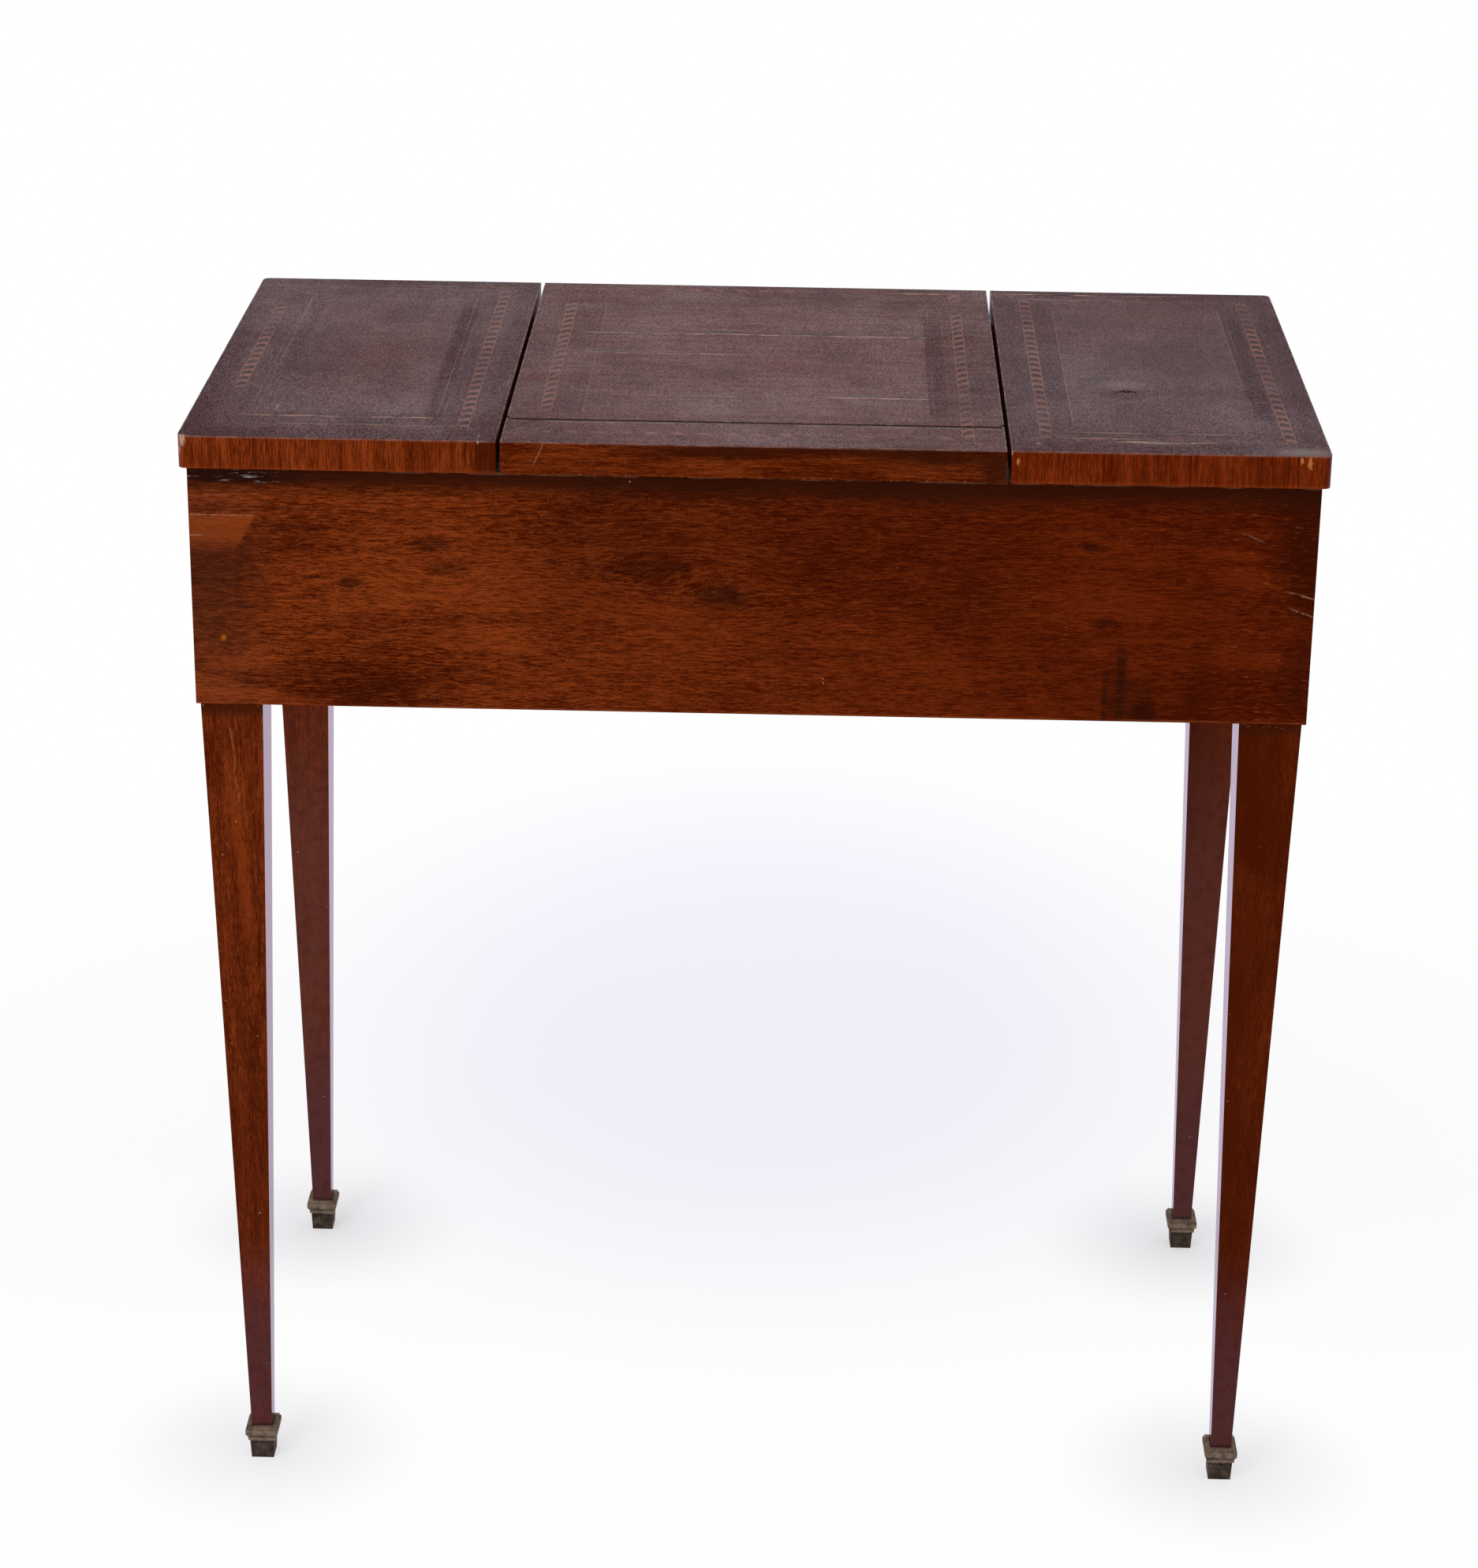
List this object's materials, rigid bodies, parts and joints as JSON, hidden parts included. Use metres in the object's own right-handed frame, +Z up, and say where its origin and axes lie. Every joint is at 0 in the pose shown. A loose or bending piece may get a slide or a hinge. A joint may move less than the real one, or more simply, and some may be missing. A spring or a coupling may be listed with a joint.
{
  "type": "dressing table",
  "caption": "Small dressing table on tapered legs with brass boots; side flaps open over wells, middle flap lifts with a mirror, with drawers and a writing slide.",
  "frame": {"origin": "on the floor, under the centre of the top", "axes": "X to the sitter's right, Y to the back, Z up; the drawers and the writing slide pull out towards -Y"},
  "size_m": [0.72, 0.4, 0.744],
  "materials": {
    "mahogany": "satin varnished mahogany veneer, horizontal grain",
    "inlaid_top": "satin varnished mahogany veneer with rope banding and stringing inlay",
    "oak": "plain unvarnished oak",
    "brass": "aged, dulled brass",
    "mirror": "silvered looking glass"
  },
  "bodies": {
    "carcase": {"leg_back_left": "mahogany", "leg_back_right": "mahogany", "leg_front_left": "mahogany", "leg_front_right": "mahogany", "boot_back_left": "brass", "boot_back_right": "brass", "boot_front_left": "brass", "boot_front_right": "brass", "boot_nails": "brass", "back_panel": "mahogany", "side_panel_left": "mahogany", "side_panel_right": "mahogany", "partition_left": "mahogany", "partition_right": "mahogany", "bottom_rail_front": "mahogany", "bottom_rail_back": "oak", "mid_rails": "mahogany", "drawer_runners": "oak", "kickers": "oak", "glue_blocks": "oak", "sham_front_left": "mahogany", "sham_front_right": "mahogany", "well_floor_left": "oak", "well_floor_right": "oak", "well_floor_middle": "oak", "sham_knobs": "brass", "frieze": "mahogany", "rim_leaves": "brass", "hinge_pins": "brass", "carcase_screws": "brass", "hinge_rail": "inlaid_top", "pivot_plates": "brass"},
    "left_flap": {"flap_left": "inlaid_top", "flap_leaves_left": "brass", "flap_screws_left": "brass"},
    "right_flap": {"flap_right": "inlaid_top", "flap_leaves_right": "brass", "flap_screws_right": "brass"},
    "mirror_flap": {"flap_middle": "inlaid_top", "mirror_glass": "mirror", "mirror_beads": "mahogany"},
    "left_drawer": {"drawer_left_front": "mahogany", "drawer_left_sides": "oak", "drawer_left_back": "oak", "drawer_left_bottom": "oak", "drawer_left_knob": "brass"},
    "right_drawer": {"drawer_right_front": "mahogany", "drawer_right_sides": "oak", "drawer_right_back": "oak", "drawer_right_bottom": "oak", "drawer_right_knob": "brass"},
    "middle_drawer": {"drawer_middle_front": "mahogany", "drawer_middle_sides": "oak", "drawer_middle_back": "oak", "drawer_middle_bottom": "oak", "drawer_middle_knob": "brass"},
    "writing_slide": {"writing_board": "mahogany", "writing_slide_lip": "mahogany", "writing_slide_knobs": "brass"}
  },
  "joints": [
    {"name": "left_flap_hinge", "type": "hinge", "parent": "carcase", "child": "left_flap", "pos_m": [-0.35765, 0, 0.723], "axis": [0, -1, 0], "range_deg": [0, 180]},
    {"name": "right_flap_hinge", "type": "hinge", "parent": "carcase", "child": "right_flap", "pos_m": [0.35765, 0, 0.723], "axis": [0, 1, 0], "range_deg": [0, 180]},
    {"name": "mirror_flap_pivot", "type": "hinge", "parent": "carcase", "child": "mirror_flap", "pos_m": [0, 0.1462, 0.741], "axis": [-1, 0, 0], "range_deg": [0, 100]},
    {"name": "left_drawer_slide", "type": "slide", "parent": "carcase", "child": "left_drawer", "axis": [0, -1, 0], "range_m": [0, 0.24]},
    {"name": "right_drawer_slide", "type": "slide", "parent": "carcase", "child": "right_drawer", "axis": [0, -1, 0], "range_m": [0, 0.24]},
    {"name": "middle_drawer_slide", "type": "slide", "parent": "carcase", "child": "middle_drawer", "axis": [0, -1, 0], "range_m": [0, 0.24]},
    {"name": "writing_slide_slide", "type": "slide", "parent": "carcase", "child": "writing_slide", "axis": [0, -1, 0], "range_m": [0, 0.17]}
  ]
}
